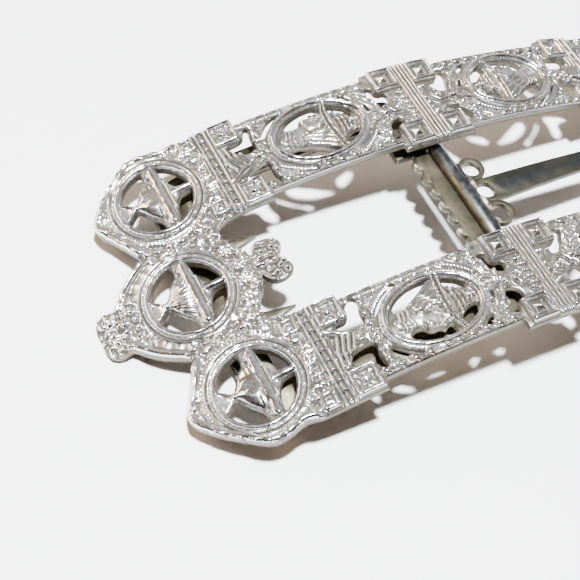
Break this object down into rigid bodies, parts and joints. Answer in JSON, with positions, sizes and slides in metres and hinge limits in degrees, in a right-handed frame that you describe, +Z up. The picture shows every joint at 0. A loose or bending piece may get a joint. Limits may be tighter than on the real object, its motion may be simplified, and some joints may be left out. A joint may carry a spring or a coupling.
{
  "type": "arched ornamental buckle with a loop and a tongue",
  "caption": "Long arched cast buckle with pierced rails, round and oval medallions, and a hinged loop and tongue on a pin below the middle.",
  "frame": {"origin": "centre of the buckle's footprint, on the surface that it lies on", "axes": "+Z up through the top of the arch, +X along the length towards the tongue's side, +Y across, along the pin"},
  "size_m": [0.1014, 0.0436, 0.0115],
  "materials": {
    "silver_plate": "worn bright silver plate over cast brass, grey in the recesses",
    "dark_steel": "dark blue-grey steel wire",
    "chape_metal": "dull olive and beige worn metal"
  },
  "bodies": {
    "buckle_frame": {"frame": "silver_plate", "hinge_pin": "dark_steel"},
    "chape_loop": {"loop": "chape_metal"},
    "chape_tongue": {"tongue": "chape_metal"}
  },
  "joints": [
    {"name": "loop_hinge", "type": "hinge", "parent": "buckle_frame", "child": "chape_loop", "pos_m": [0, 0, 0.00753], "axis": [0, -1, 0], "range_deg": [0, 70]},
    {"name": "tongue_hinge", "type": "hinge", "parent": "buckle_frame", "child": "chape_tongue", "pos_m": [0, 0, 0.00753], "axis": [0, 1, 0], "range_deg": [0, 70]}
  ]
}
